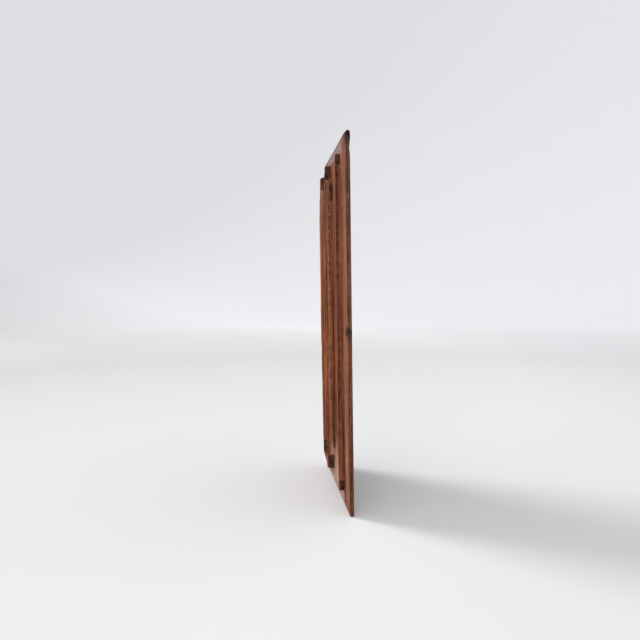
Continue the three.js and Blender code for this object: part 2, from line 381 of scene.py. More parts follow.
def spread(lines, line_knots, knots):
    """Places grid lines (the last axis) so that the knots among them land where they are wanted."""
    index = np.clip(np.searchsorted(line_knots, lines, side="right") - 1, 0, len(line_knots) - 2)
    low = np.take(line_knots, index)
    share = (lines - low) / (np.take(line_knots, index + 1) - low)
    stack = np.stack(knots)
    place = np.arange(len(lines))
    start, end = stack[index, :, place].T, stack[index + 1, :, place].T
    return start + (end - start) * share


def column_knots(x, z):
    """Where the knots of the columns lie, from left to right."""
    halves = []
    for side in (-1, 1):
        half = []
        for name in ("inner", "outer"):
            line = side_line(name, side + 0 * x, z)
            half += [line + offset for offset in SIDE_BAND[name]]
        halves.append(half + [HALF_WIDTH - FRONT_INSET + 0 * x])
    return [-knot for knot in reversed(halves[0])] + [0 * x] + halves[1]


def row_knots(x):
    """Where the knots of the rows lie, from the bottom up."""
    outside, inside = END_BAND
    halves = []
    for ends in (BOTTOM_ENDS, TOP_ENDS):
        half = [FRONT_INSET + 0 * x]
        for line in (outer_end, inner_end):
            across = steepness(line, x, ends)
            half.append(np.maximum(line(x, ends) - outside * across, half[-1] + KNOT_GAP))
            half.append(np.maximum(line(x, ends) + inside * across, half[-1] + KNOT_GAP))
        halves.append(half + [DETAILED_END + 0 * x])
    bottom = [-HALF_HEIGHT + distance for distance in halves[0]]
    return bottom + [HALF_HEIGHT - distance for distance in reversed(halves[1])]


def front_grid():
    """x and z of the front's vertices, as two arrays of rows and columns."""
    half = [INNER_HALF + offset for offset in SIDE_BAND["inner"]]
    half += [OUTER_HALF + offset for offset in SIDE_BAND["outer"]] + [HALF_WIDTH - FRONT_INSET]
    steps = [0.86, 0.15, 0.35, 1.45, 0.18, 0.5, 1.9]
    x_knots = [-knot for knot in reversed(half)] + [0] + half
    columns = lines_between(x_knots, steps[::-1] + steps)

    bottom = [FRONT_INSET, 18, 19.9, 35, 36.9, DETAILED_END]
    top = [FRONT_INSET, 18, 19.9, 27, 28.9, DETAILED_END]
    steps = [1.2, 0.19, 1.2, 0.19, 1.0]
    z_knots = [-HALF_HEIGHT + knot for knot in bottom] + [HALF_HEIGHT - knot for knot in reversed(top)]
    rows = lines_between(z_knots, steps + [2.5] + steps[::-1])

    x, z = np.meshgrid(columns, rows)
    for _ in range(4):
        x = spread(columns, x_knots, column_knots(x, z))
        z = spread(rows, z_knots, [knot.T for knot in row_knots(x)]).T
    return x, z


# One closed mesh of the front, the edges and the back

# Rings of the edge, from the front to the back: share of the thickness, and how far in from the outline
EDGE_RINGS = [(0.07, 0.15), (0.2, 0.02), (0.36, 0.0), (0.52, 0.0), (0.68, 0.0), (0.84, 0.0), (0.97, 0.12)]
# How far above the ground the edge starts at most, and how near the outline it is worn
EDGE_SWELL = 0.7
EDGE_WORN = 1.5
# Points this near the outline lie on it; the noises of the panel's ends start this far from its sides' own
ON_OUTLINE = 1e-6
ENDS_APART = 300
BACK_INSET = 0.6
BACK_STEPS = (3.6, 4.0)


def border(rows, columns):
    """Side (0 to 3), row and column of the vertices round a grid, starting at the low left and going right."""
    walk = [(0, 0, j) for j in range(columns - 1)] + [(1, i, columns - 1) for i in range(rows - 1)]
    walk += [(2, rows - 1, j) for j in range(columns - 1, 0, -1)] + [(3, i, 0) for i in range(rows - 1, 0, -1)]
    return np.array(walk).T


def way_round(side, x, z):
    """How far round its rectangle each border vertex is, from 0 to 4, one unit a side."""
    u = (x / np.abs(x).max() + 1) / 2
    v = (z / np.abs(z).max() + 1) / 2
    return side + np.choose(side, [u, v, 1 - u, 1 - v])


def grid_faces(rows, columns, first):
    """Two triangles for each cell, cut along alternate diagonals."""
    i, j = np.meshgrid(np.arange(rows - 1), np.arange(columns - 1), indexing="ij")
    a = first + i * columns + j
    b, c, d = a + 1, a + columns + 1, a + columns
    even = (i + j) % 2 == 0
    one = np.where(even[..., None], np.stack([a, b, c], -1), np.stack([a, b, d], -1))
    two = np.where(even[..., None], np.stack([a, c, d], -1), np.stack([b, c, d], -1))
    return np.concatenate([one.reshape(-1, 3), two.reshape(-1, 3)])


def band_faces(first, second):
    """Triangles between two rings with the same number of vertices."""
    next_first, next_second = np.roll(first, -1), np.roll(second, -1)
    one = np.stack([first, second, next_first], -1)
    return np.concatenate([one, np.stack([next_first, second, next_second], -1)])


def zip_faces(first, first_way, second, second_way):
    """Triangles between two rings with different numbers of vertices, by how far round each vertex is."""
    faces = []
    i = j = 0
    first_way, second_way = np.append(first_way, 4), np.append(second_way, 4)
    while i < len(first) or j < len(second):
        a, b = first[i % len(first)], second[j % len(second)]
        if j == len(second) or (i < len(first) and first_way[i + 1] <= second_way[j + 1]):
            i += 1
            faces.append((a, b, first[i % len(first)]))
        else:
            j += 1
            faces.append((a, b, second[j % len(second)]))
    return np.array(faces)


def along_edge(x, z):
    """Place along the edge, for its noises."""
    return np.where(np.abs(x) > HALF_WIDTH - ON_OUTLINE, z, x + ENDS_APART)


def edge_ring(x, z, share, inset):
    """x, z and level of a ring of the worn edge, from the outline's x and z."""
    along = along_edge(x, z)
    rough = 0.08 * (1 + lattice_noise(along / 2.7, 9 * share + 0 * x, 33))
    chips = 0.8 * np.maximum(lattice_noise(along / 3.4, 0.5 + 3 * round(share) + 0 * x, 34) - 0.55, 0)
    pull = inset + rough + chips * (abs(share - 0.5) > 0.25)
    ring_x = np.sign(x) * (np.abs(x) - pull * (np.abs(x) > HALF_WIDTH - EDGE_WORN))
    ring_z = np.sign(z) * (np.abs(z) - pull * (np.abs(z) > HALF_HEIGHT - EDGE_WORN))
    front = np.minimum(front_level(x, z), GROUND_LEVEL + EDGE_SWELL)
    back = back_level(x, z)
    return ring_x, ring_z, front + (back - front) * share


# Ageing and painted light: float attributes say how much each kind of age shows, with painted shade, painted
# highlights and painted sheen mixed into them, and which faces stand upright

# Attributes, in order: soil with painted shade, wear with painted highlights, bare wood with painted sheen,
# warmth, and upright faces
AGES_AND_PAINTED_LIGHT = ("soil_and_shade", "wear_and_highlight", "bare_and_sheen", "warmth", "upright")
# Ages of the back, in the same order
BACK_AGEING = (0.22, 0.0, 0.0, 0.25, 0.0)

# Chopped blocks at the ends of the folds' sides: their darkening, and the inner fold's share of it
BLOCK_DARKENING = 0.95
INNER_BLOCK_SHARE = 0.94
# Painted highlight spot past each block, where the ledge's corner catches the light; its height and its half
# height are shares of its fold's height
HIGHLIGHT_SPOT = {"past_block": 1.8, "half_length": 2.3, "half_height": 0.45}
HIGHLIGHT_SPOT_HEIGHTS = {"outer": 0.25, "inner": 0.6}
# Dark end of the rib, and the dark patch above its nose: places along the panel, and levels
RIB_END = {"from_tip": 17, "level": 24.6, "reach": 4.2}
NOSE_PATCH = {"from_bottom": 60, "half_length": 11, "level": 24.2, "reach": 4.4}
# Darkening round the swollen corner: how far it reaches in and down
CORNER_DARKENING = {"reach": 20, "fall": 19}
# Inner riser: the band on its ledge, rubbed light and partly painted sheen, calmer in its upper part, and the dark
# line below, which widens upwards
WORN_SHEEN_BAND = {"level": 19.6, "reach": 2.7, "calm_from": 70, "calm_run": 60}
LEDGE_DARK_LINE = {"level": 18.2, "reach": 1.0, "opens_from": 10, "opens_over": 60}
# Outer riser: the strip of painted shade along it
OUTER_RISER_SHADE = {"level": 13.0, "reach": 5.4}
# Below this height the panel is lighter: the painted shade of the margins and the dark line on the inner riser
# fade out, and the outer riser's painted shade is halved
LIGHTER_BELOW = -150
# Painted sheen: a pale splay that widens down from the lower pocket
SHEEN_SPLAY = {"from": -126, "run": 42, "width": 14, "widens_from": -142, "widens_over": 40, "widening": 20, "edge": 16}
# Outer margins: where their shade starts, and the golden strip at the upper right
SHADE_FROM = 80
GILDING = {"from_edge": 20, "half_width": 14, "from": 10, "run": 80, "below_top": 20}


def most(*shares):
    """The largest of several shares at each point."""
    return functools.reduce(np.maximum, shares)


class FrontPoints:
    """The front's points: where they lie on the carving, and the noises that break up their ageing and painted
    light.
    """

    def __init__(self, x, z, level, cut, lip):
        self.x, self.z, self.level, self.cut, self.lip = x, z, level, cut, lip
        self.across, self.lower = np.abs(x), z < 0
        self.outer_side, self.outer_tip = distances_inside("outer", x, z)
        self.inner_side, self.inner_tip = distances_inside("inner", x, z)
        self.past_outer_block = self.outer_tip > OUTER_CORNER["length"]
        self.past_inner_block = self.inner_tip > INNER_CORNER["length"]
        self.on_inner_riser = ease((self.inner_side + INNER_LEDGE_FOOT + 0.2) / 0.4) * ease(-self.inner_side / 0.3)
        self.on_outer_riser = ease((self.outer_side + OUTER_COVE) / 2.5) * ease((0.35 - self.outer_side) / 0.3)
        self.shaded = ease((self.across - SHADE_FROM) / 10) * ease((z - LIGHTER_BELOW) / 50)
        self.patchy = 0.5 + 0.5 * lattice_noise(z / 7, x / 5, 41)
        self.drifting = 0.5 + 0.5 * lattice_noise(z / 31, x / 24, 47)
        coarse, fine = lattice_noise(z / 4.5, x / 40, 42), lattice_noise(z / 1.6, x / 40, 43)
        self.broken = np.clip(0.5 + 1.4 * coarse + 0.6 * fine, 0, 1)
        self.ragged = 1.6 * lattice_noise(level / 1.7, z / 4, 46)
        self.frayed = 5 * lattice_noise(x / 4, z / 30, 48) + 3 * lattice_noise(x / 1.7, z / 14, 49)

    def folds(self):
        """Distances inside the side and end lines of the outer and the inner fold."""
        return (self.outer_side, self.outer_tip), (self.inner_side, self.inner_tip)


def chopped_block(p, side, tip, height, foot, corner, spot_height):
    """Darkening of a chopped block at the end of a fold's side, and the painted highlight spot where it starts."""
    riser = ease((side + foot + 0.5) / 0.4) * ease((1.9 - side) / 1.0) * (tip > -0.8)
    narrowing = p.lower * 0.5 * (1 - tip / corner["length"])
    block = ease((corner["length"] - tip + p.ragged) / 1.6) * ease((1 - narrowing - height) / 0.12 + 0.9)
    wide = ease((side + 4.5) / 1.5) * ease(-side / 0.4)
    highlight_spot = near(tip, corner["length"] + HIGHLIGHT_SPOT["past_block"], HIGHLIGHT_SPOT["half_length"])
    highlight_spot = highlight_spot * near(height, spot_height, HIGHLIGHT_SPOT["half_height"]) * wide
    return BLOCK_DARKENING * riser * block, highlight_spot


def chopped_blocks(p):
    """Darkening and painted highlight spots of the chopped blocks of both folds."""
    height = np.clip((p.level - GROUND_LEVEL) / (OUTER_LEVEL - GROUND_LEVEL), 0, 1)
    soil_and_shade, highlight_spot = chopped_block(
        p, p.outer_side, p.outer_tip, height, OUTER_FOOT, OUTER_CORNER, HIGHLIGHT_SPOT_HEIGHTS["outer"])
    height = np.clip((p.level - OUTER_LEVEL) / (INNER_LEVEL - OUTER_LEVEL), 0, 1)
    inner_darkening, inner_highlight_spot = chopped_block(
        p, p.inner_side, p.inner_tip, height, INNER_FOOT, INNER_CORNER, HIGHLIGHT_SPOT_HEIGHTS["inner"])
    soil_and_shade, highlight_spot = np.maximum(soil_and_shade, INNER_BLOCK_SHARE * inner_darkening), np.maximum(highlight_spot, inner_highlight_spot)
    return soil_and_shade * (1 - 0.9 * highlight_spot), highlight_spot


def rib_darkening(p):
    """Darkening at the upper end of the rib's sides and in a patch above its nose."""
    side = (p.across > RIB_TOP_HALF - 1.5) & (p.across < RIB_FOOT_HALF) & (p.level > CHANNEL_LEVEL + 0.4)
    end = ease((RIB_END["from_tip"] + p.ragged - p.inner_tip) / 1.5)
    end = end * ease(1.6 * near(p.level, RIB_END["level"], RIB_END["reach"])) * (p.z > 0)
    nose_patch = ease(2.2 * near(from_bottom(p.z), NOSE_PATCH["from_bottom"] + p.ragged, NOSE_PATCH["half_length"]))
    nose_patch = nose_patch * ease(2.0 * near(p.level, NOSE_PATCH["level"], NOSE_PATCH["reach"])) * p.lower
    return side * np.maximum(end, nose_patch)


def hollow_grime_and_shade(p):
    """Darkening at the folds' ends and feet, in the cuts and on the rib: grime where hands and brushes don't
    reach, and painted shade in these hollows and under the outer arris.
    """
    ends = [0.85 * near(tip, -END_FOOT / 2, 0.9) * (side > -0.5) for side, tip in p.folds()]
    below = -INNER_LEDGE_FOOT - p.inner_side
    crease = ease((below + 0.8) / 0.8) * ease((4.5 - below) / 4.5) * p.past_inner_block
    cove_floor = near(p.outer_side, -3.4, 4.2) * p.past_outer_block
    under_arris = near(p.outer_side, -0.8, 1.3) * p.past_outer_block
    channel = near(p.across, RIB_FOOT_HALF + 1, 4.0) * (from_bottom(p.z) > RIB_FROM_BOTTOM) * (p.inner_tip > 0)
    return most(
        *ends, crease * (0.05 + 0.22 * p.broken), cove_floor * (0.1 + 0.15 * p.drifting),
        under_arris * (0.2 + 0.25 * p.drifting), channel * (0.45 + 0.3 * p.drifting), rib_darkening(p),
        0.88 * ease(4 * p.cut))


def notch_shade(p):
    """Painted shade in the deep bruised notch, nearly black, and round it."""
    bruise = ease((GROUND_LEVEL + 0.2 - notch_floor(p.x, p.z)) / 0.5)
    across = (HALF_WIDTH - p.x) / (NOTCH["reach"] + 10)
    around = across ** 2 + ((p.z - NOTCH["z"]) / (NOTCH["half_height"] + 1.5)) ** 2
    return 0.98 * np.maximum(bruise, ease((1.1 + 0.12 * p.ragged - around) / 0.25))


def corner_darkening(p):
    """Darkening of the swollen corner and round it, deepest at the edge and at the top end."""
    knob = nib_swell(p.x, p.z) / NIB["swell"]
    darkened = ease((p.x - HALF_WIDTH + CORNER_DARKENING["reach"] + 1.5 * p.ragged) / 7)
    darkened = darkened * ease((CORNER_DARKENING["fall"] + 2 * p.ragged - from_top(p.z)) / 5)
    at_edge, at_top = ease((p.x - HALF_WIDTH + 6) / 5), ease((5 - from_top(p.z)) / 4)
    darkened = darkened * np.clip(0.62 + 0.3 * at_edge + 0.3 * at_top + 0.25 * (p.patchy - 0.5), 0, 1)
    return np.maximum(darkened, 0.8 * ease(1.6 * knob - 0.3))


def end_soil(p):
    """Soil along the panel's ends, and a light veil of it at the low right corner."""
    rim = np.minimum(from_top(p.z), from_bottom(p.z) + 0.8)
    veil = 0.3 * ease((-HALF_HEIGHT + 20 - p.z) / 12) * ease((p.x - HALF_WIDTH + 18) / 10)
    return np.maximum(ease((FRONT_INSET + 2.3 + 0.4 * p.ragged - rim) / 0.8), veil)


def riser_darkening(p):
    """Painted shade on the outer riser, and a dark line along the ledge of the inner one."""
    outer_riser_shade = near(p.level, OUTER_RISER_SHADE["level"], OUTER_RISER_SHADE["reach"]) * (0.62 + 0.12 * p.drifting)
    outer_riser_shade = outer_riser_shade * (0.5 + 0.5 * ease((p.z - LIGHTER_BELOW) / 60))
    high = ease((p.z - LEDGE_DARK_LINE["opens_from"]) / LEDGE_DARK_LINE["opens_over"])
    ledge_dark_line = p.on_inner_riser * near(p.level, LEDGE_DARK_LINE["level"] + 0.4 * p.ragged, LEDGE_DARK_LINE["reach"] + 0.3 * high)
    ledge_dark_line = ledge_dark_line * ease((p.broken - 0.4 + 0.3 * high) / 0.3)
    ledge_dark_line = ledge_dark_line * ease((p.z - LIGHTER_BELOW) / 20) * (0.35 + 0.6 * high)
    return np.maximum(p.on_outer_riser * outer_riser_shade * p.past_outer_block, ledge_dark_line)


def wear_and_highlight_shares(p, highlight_spot):
    """Wear and painted highlights: rubbed arrises, painted highlight spots past the blocks, the rib's worn crown,
    the band on the inner riser, which is partly painted sheen, painted highlights on the pockets' lips, and the
    splinter.
    """
    arrises = []
    for (side, tip), corner, share in zip(p.folds(), (OUTER_CORNER, INNER_CORNER), (0.6, 1.0)):
        rub_and_highlight = share * near(side, 0.8, 0.8) * ease((tip - corner["length"]) / 2)
        arrises.append(rub_and_highlight * (0.35 + 0.6 * p.broken * p.drifting))
    crown = near(p.across, 0, RIB_TOP_HALF) * (from_bottom(p.z) > RIB_FROM_BOTTOM + 8) * (p.inner_tip > 2)
    crown = crown * (0.15 + 0.4 * p.drifting) * (1 - 0.8 * ease((p.z - 50) / 60))
    band = p.on_inner_riser * near(p.level, WORN_SHEEN_BAND["level"] + 0.5 * p.ragged, WORN_SHEEN_BAND["reach"])
    band = band * ease((p.inner_tip - INNER_CORNER["length"] - 2) / 3)
    band = band * (1 - 0.75 * ease((p.z - WORN_SHEEN_BAND["calm_from"]) / WORN_SHEEN_BAND["calm_run"]))
    band = band * (0.85 - 0.35 * p.broken)
    return most(highlight_spot * (0.8 + 0.2 * p.patchy), *arrises, crown, band, 1.2 * p.lip, 1.6 * chip_share(p.x, p.z))


def sheen_splay_share(p):
    """Share of the painted sheen: a pale splay beside the foot of the inner fold's lower end."""
    widened = np.clip((SHEEN_SPLAY["widens_from"] - p.z) / SHEEN_SPLAY["widens_over"], 0, 1)
    limit = INNER_HALF + SHEEN_SPLAY["width"] + SHEEN_SPLAY["widening"] * widened + 0.7 * p.frayed
    below = ease((SHEEN_SPLAY["from"] + 1.4 * p.frayed - p.z) / SHEEN_SPLAY["run"])
    return below * ease((limit - p.across) / SHEEN_SPLAY["edge"]) * (p.inner_side < -INNER_FOOT) * (p.outer_tip > 0)


def gilded_share(p):
    """Share of the golden strip on the upper right margin."""
    strip = near(p.x, HALF_WIDTH - GILDING["from_edge"], GILDING["half_width"])
    strip = strip * ease((p.z - GILDING["from"]) / GILDING["run"])
    return strip * ease((from_top(p.z) - GILDING["below_top"]) / 10)


def upright_share(p):
    """1 on the risers and on the rib's sides, 0 on level ground."""
    inner = ease((p.inner_side + INNER_LEDGE_FOOT + 0.4) / 0.6) * ease(0.5 - p.inner_side)
    outer = ease((p.outer_side + OUTER_COVE) / 1.5) * ease(0.5 - p.outer_side)
    rib = ease(p.across - RIB_TOP_HALF) * ease(RIB_FOOT_HALF - p.across) * (p.inner_side > 0)
    return most(inner, outer, rib)


def front_age_and_light(x, z, level, cut, lip):
    """The front's ages with their painted shade, highlights and sheen, in the order of AGES_AND_PAINTED_LIGHT."""
    p = FrontPoints(x, z, level, cut, lip)
    soil_and_shade, highlight_spot = chopped_blocks(p)
    soil_and_shade = most(soil_and_shade, hollow_grime_and_shade(p), notch_shade(p), corner_darkening(p), end_soil(p), riser_darkening(p))
    sheen_splayed = sheen_splay_share(p)
    soil_and_shade = soil_and_shade * (1 - 0.9 * sheen_splayed * (cut < 0.02))
    soil_and_shade = np.maximum(soil_and_shade, p.shaded * (0.12 + 0.14 * p.drifting))

    # Pale ground past the folds' ends, bare wood with painted sheen over it: polished at the lower end, dusty at
    # the upper
    ground = ease((-0.3 - p.outer_tip) / 1.0) * ease((OUTER_HALF + 6 + p.frayed - p.across) / 9)
    gilded = gilded_share(p) * (0.35 + 0.3 * p.drifting)
    wear_and_highlight = most(wear_and_highlight_shares(p, highlight_spot), 1.2 * ground * p.lower, 1.35 * sheen_splayed, gilded)
    bare_and_sheen = ground * np.where(p.lower, 0.55, 1.0) * (0.75 + 0.5 * p.patchy)
    bare_and_sheen = np.clip(most(bare_and_sheen, 0.7 * highlight_spot, 0.22 * sheen_splayed), 0, 1)
    faded = ease((z - 60) / 60) * (p.inner_side > -INNER_LEDGE_FOOT)
    bare_and_sheen = np.maximum(bare_and_sheen, faded * (0.18 + 0.24 * p.patchy))

    warmth = ease((-p.outer_side - 2.0) / 2.0) * np.clip(0.75 + 0.5 * (p.patchy - 0.5), 0, 1) * (1 - bare_and_sheen)
    warmth = np.maximum(warmth * (1 - 0.6 * p.shaded), 0.75 * p.on_inner_riser)
    return soil_and_shade, wear_and_highlight, bare_and_sheen, warmth, upright_share(p)


def edge_age_and_shade(x, z, share):
    """A ring of the edge's ages and painted shade, in the order of AGES_AND_PAINTED_LIGHT: darkened all over,
    partly as painted shade, dark towards the front, lighter towards the back.
    """
    along = along_edge(x, z)
    patchy = 0.5 + 0.5 * lattice_noise(along / 13, 0 * x + 0.5, 44)
    fine = 0.5 + 0.5 * lattice_noise(along / 3, 4 * share + 0 * x, 45)
    dark = ease((0.46 - share + 0.3 * (patchy - 0.5)) / 0.2)
    bruise = near(z, NOTCH["z"], NOTCH["half_height"] + 2.5) * (x > HALF_WIDTH - 1)
    knob = ease((z - NIB["z"] + 12.5) / 5) * (x > HALF_WIDTH - 9)
    end_grain = np.abs(z) > HALF_HEIGHT - ON_OUTLINE
    # The edge's darkening: patina with painted shade all over, painted shade in the notch, painted shade on the
    # swollen corner's upper end against the light from above, and dark end grain on the panel's ends
    soil_and_shade = most(
        0.6 * dark * (0.5 + 0.8 * fine), 0.6, near(share, 0.2, 0.24) * ease(2.5 * (patchy - 0.25)) * 0.97,
        0.97 * ease(1.8 * bruise), knob * np.clip(0.84 + 0.4 * share + 0.3 * (fine - 0.5), 0, 1), 0.85 * end_grain)
    wear_and_highlight = 0.05 * (1 - dark) * fine
    return soil_and_shade, wear_and_highlight, 0 * x, 0.9 * (1 - 0.4 * dark) * (1 - knob), 0 * x + 1


def cut_pockets(x, z, level):
    """x and level of the front with its pockets cut, and the shares of cut and of lip."""
    cut, lip = 0 * x, 0 * x
    for distance, size in ((from_top(z), TOP_POCKET), (from_bottom(z), BOTTOM_POCKET)):
        x, level, share, edge = cut_pocket(x, level, distance, size)
        cut, lip = np.maximum(cut, share), np.maximum(lip, edge)
    return x, level, cut, lip


def panel_mesh():
    """The panel as one closed mesh: points in millimetres, triangles, and the ageing and painted light of each
    point.
    """
    x, z = front_grid()
    rows, columns = x.shape
    level = front_level(x, z)
    carved_x, carved_level, cut, lip = cut_pockets(x, z, level)
    carved_x = carved_x + side_marks(x, z, level)
    points = [np.stack([carved_x, carved_level, z], -1).reshape(-1, 3)]
    age_and_light = [np.stack(front_age_and_light(x, z, level, cut, lip), -1).reshape(-1, len(AGES_AND_PAINTED_LIGHT))]
    faces = [grid_faces(rows, columns, 0)]
    side, i, j = border(rows, columns)
    ring = i * columns + j
    outline_x = x[i, j] * HALF_WIDTH / (HALF_WIDTH - FRONT_INSET)
    outline_z = z[i, j] * HALF_HEIGHT / (HALF_HEIGHT - FRONT_INSET)
    count = rows * columns
    for share, inset in EDGE_RINGS:
        ring_x, ring_z, level = edge_ring(outline_x, outline_z, share, inset)
        points.append(np.stack([ring_x, level, ring_z], -1))
        age_and_light.append(np.stack(edge_age_and_shade(outline_x, outline_z, share), -1))
        new_ring = count + np.arange(len(ring))
        faces.append(band_faces(ring, new_ring))
        ring = new_ring
        count += len(ring)

    half_x, half_z = HALF_WIDTH - BACK_INSET, HALF_HEIGHT - BACK_INSET
    back_x = np.linspace(-half_x, half_x, round(2 * half_x / BACK_STEPS[0]) + 1)
    back_z = np.linspace(-half_z, half_z, round(2 * half_z / BACK_STEPS[1]) + 1)
    bx, bz = np.meshgrid(back_x, back_z)
    points.append(np.stack([bx, back_level(bx, bz), bz], -1).reshape(-1, 3))
    age_and_light.append(np.tile(BACK_AGEING, (bx.size, 1)))
    faces.append(grid_faces(*bx.shape, count))
    back_side, bi, bj = border(*bx.shape)
    back_ring = count + bi * bx.shape[1] + bj
    ways = way_round(side, outline_x, outline_z), way_round(back_side, bx[bi, bj], bz[bi, bj])
    faces.append(zip_faces(ring, ways[0], back_ring, ways[1]))
    return np.concatenate(points), np.concatenate(faces), np.concatenate(age_and_light)


def round_corner(points):
    """Rounds the panel's top end over its swollen right corner."""
    x, level, z = points.T
    size = CORNER_ROUND
    share = np.exp(-(((HALF_WIDTH - x) / size["reach"]) ** 2))
    share = share * ease((z - HALF_HEIGHT + size["height"]) / size["height"])
    off_middle = np.clip(np.abs(level - size["level"]) / size["half_thickness"], 0, 1.2)
    points[:, 2] = z - size["fall"] * share * off_middle ** size["power"]


def make_panel():
    """The panel's object, in metres, with its ageing and painted light in float attributes."""
    points, faces, age_and_light = panel_mesh()
    round_corner(points)
    points[:, 1] *= -1
    mesh = bpy.data.meshes.new("carved_oak")
    mesh.vertices.add(len(points))
    mesh.vertices.foreach_set("co", (points * MM).ravel())
    mesh.loops.add(faces.size)
    mesh.loops.foreach_set("vertex_index", faces.ravel())
    mesh.polygons.add(len(faces))
    mesh.polygons.foreach_set("loop_start", np.arange(0, faces.size, 3))
    mesh.update(calc_edges=True)
    mesh.validate()
    work = bmesh.new()
    work.from_mesh(mesh)
    bmesh.ops.recalc_face_normals(work, faces=work.faces)
    work.to_mesh(mesh)
    work.free()
    for k, name in enumerate(AGES_AND_PAINTED_LIGHT):
        layer = mesh.attributes.new(name, "FLOAT", "POINT")
        layer.data.foreach_set("value", age_and_light[:, k].astype(np.float32))
    mesh.shade_smooth()
    panel = bpy.data.objects.new("carved_panel", mesh)
    bpy.context.scene.collection.objects.link(panel)
    return panel


# The old oak

# Noises in the wood: cells to the metre across, in depth and along the grain, detail, roughness and distortion
NOISES = {
    "bands": ((62, 95, 2.4), 5.0, 0.60, 0.60),
    "streaks": ((260, 560, 7), 5.0, 0.66, 0.0),
    "fibres": ((1700, 1700, 45), 3.0, 0.60, 0.0),
    "clouds": ((24, 40, 15), 4.0, 0.60, 0.0),
    "hues": ((55, 130, 11), 4.0, 0.65, 0.0),
    "spots": ((240, 240, 130), 3.0, 0.60, 0.0),
    "pores": ((1100, 1100, 70), 2.0, 0.50, 0.0),
    "lines": ((170, 430, 6), 2.0, 0.55, 0.25),
    "stripes": ((80, 330, 3.2), 3.0, 0.60, 0.30),
    "cuts": ((9, 560, 9), 3.0, 0.60, 0.15),
}
# Tones of the wood by its figure, plain and where it is warm, and of the soil and painted shade by its spots
BROWNS = [
    (0.39, (0.075, 0.018, 0.0075)), (0.46, (0.140, 0.035, 0.0145)),
    (0.53, (0.235, 0.064, 0.0255)), (0.60, (0.400, 0.138, 0.060)),
]
WARM_BROWNS = [(0.39, (0.150, 0.043, 0.016)), (0.50, (0.300, 0.096, 0.040)), (0.61, (0.470, 0.182, 0.086))]
SOIL_AND_SHADE_TONES = [(0.36, (0.018, 0.009, 0.006)), (0.50, (0.052, 0.026, 0.019)), (0.64, (0.105, 0.058, 0.044))]
# Veils over the wood, in order: the noise each follows, where it starts, where it is full, strength and colour
VEILS = [
    ("hues", 0.50, 0.40, 0.40, (0.120, 0.040, 0.030)),
    ("hues", 0.52, 0.63, 0.35, (0.330, 0.110, 0.032)),
    ("lines", 0.54, 0.63, 0.36, (0.440, 0.165, 0.078)),
    ("lines", 0.45, 0.37, 0.42, (0.060, 0.016, 0.009)),
    ("stripes", 0.51, 0.62, 0.42, (0.440, 0.145, 0.060)),
    ("stripes", 0.48, 0.38, 0.42, (0.075, 0.020, 0.011)),
    ("cuts", 0.52, 0.60, 0.58, (0.520, 0.170, 0.072)),
    ("cuts", 0.46, 0.38, 0.70, (0.050, 0.013, 0.008)),
    ("clouds", 0.45, 0.62, 0.32, (0.095, 0.026, 0.014)),
]
# Tones laid over the wood: wear with painted highlights, bare wood with painted sheen, polish with painted sheen,
# and pores
WEAR_AND_HIGHLIGHT_TONE = (0.43, 0.200, 0.125)
BARE_AND_SHEEN_TONE = (0.210, 0.160, 0.140)
POLISH_AND_SHEEN_TONE = (0.560, 0.340, 0.260)
PORE_TONE = (0.030, 0.010, 0.005)


def rgba(tone):
    """A colour with its alpha, from a grey or from red, green and blue."""
    return (*tone, 1.0) if isinstance(tone, tuple) else (tone, tone, tone, 1.0)


class Nodes:
    """Short ways to add and link the nodes of one material."""

    def __init__(self, name):
        self.material = bpy.data.materials.new(name)
        self.material.use_nodes = True
        self.tree = self.material.node_tree
        self.tree.nodes.clear()

    def add(self, kind, inputs=(), **settings):
        node = self.tree.nodes.new(kind)
        for key, value in settings.items():
            setattr(node, key, value)
        for key, value in dict(inputs).items():
            if isinstance(value, bpy.types.NodeSocket):
                self.tree.links.new(value, node.inputs[key])
            else:
                node.inputs[key].default_value = value
        return node

    def math(self, operation, first, second, clamp=False):
        return self.add("ShaderNodeMath", {0: first, 1: second}, operation=operation, use_clamp=clamp).outputs[0]

    def times(self, first, second, clamp=False):
        return self.math("MULTIPLY", first, second, clamp)

    def ramp(self, value, stops):
        """A tone for each value, from stops of a place and a tone."""
        node = self.add("ShaderNodeValToRGB", {0: value})
        elements = node.color_ramp.elements
        while len(elements) < len(stops):
            elements.new(0.5)
        for element, (place, tone) in zip(elements, stops):
            element.position = place
            element.color = rgba(tone)
        return node.outputs[0]

    def fade(self, value, start, full):
        """0 at the start and 1 where it is full, which may lie on either side of the start."""
        return self.ramp(value, sorted([(start, 0.0), (full, 1.0)]))

    def noise(self, place, scale, detail, roughness, distortion):
        stretched = self.add("ShaderNodeMapping", {0: place, "Scale": scale}).outputs[0]
        inputs = {"Detail": detail, "Roughness": roughness, "Distortion": distortion}
        return self.add("ShaderNodeTexNoise", {"Vector": stretched, "Scale": 1.0, **inputs}).outputs[0]

    def mix(self, share, first, second, blend="MIX"):
        inputs = {"Factor": share, 6: first, 7: second}
        return self.add("ShaderNodeMix", inputs, data_type="RGBA", blend_type=blend).outputs[2]

    def attribute(self, name):
        return self.add("ShaderNodeAttribute", attribute_name=name).outputs["Fac"]

    def place(self):
        return self.add("ShaderNodeTexCoord").outputs["Object"]

    def distance(self, place):
        return self.add("ShaderNodeVectorMath", {0: place}, operation="LENGTH").outputs["Value"]

    def surface(self, inputs):
        """Adds the shader and the output, and gives the finished material."""
        shader = self.add("ShaderNodeBsdfPrincipled", inputs)
        self.add("ShaderNodeOutputMaterial", {"Surface": shader.outputs[0]})
        return self.material


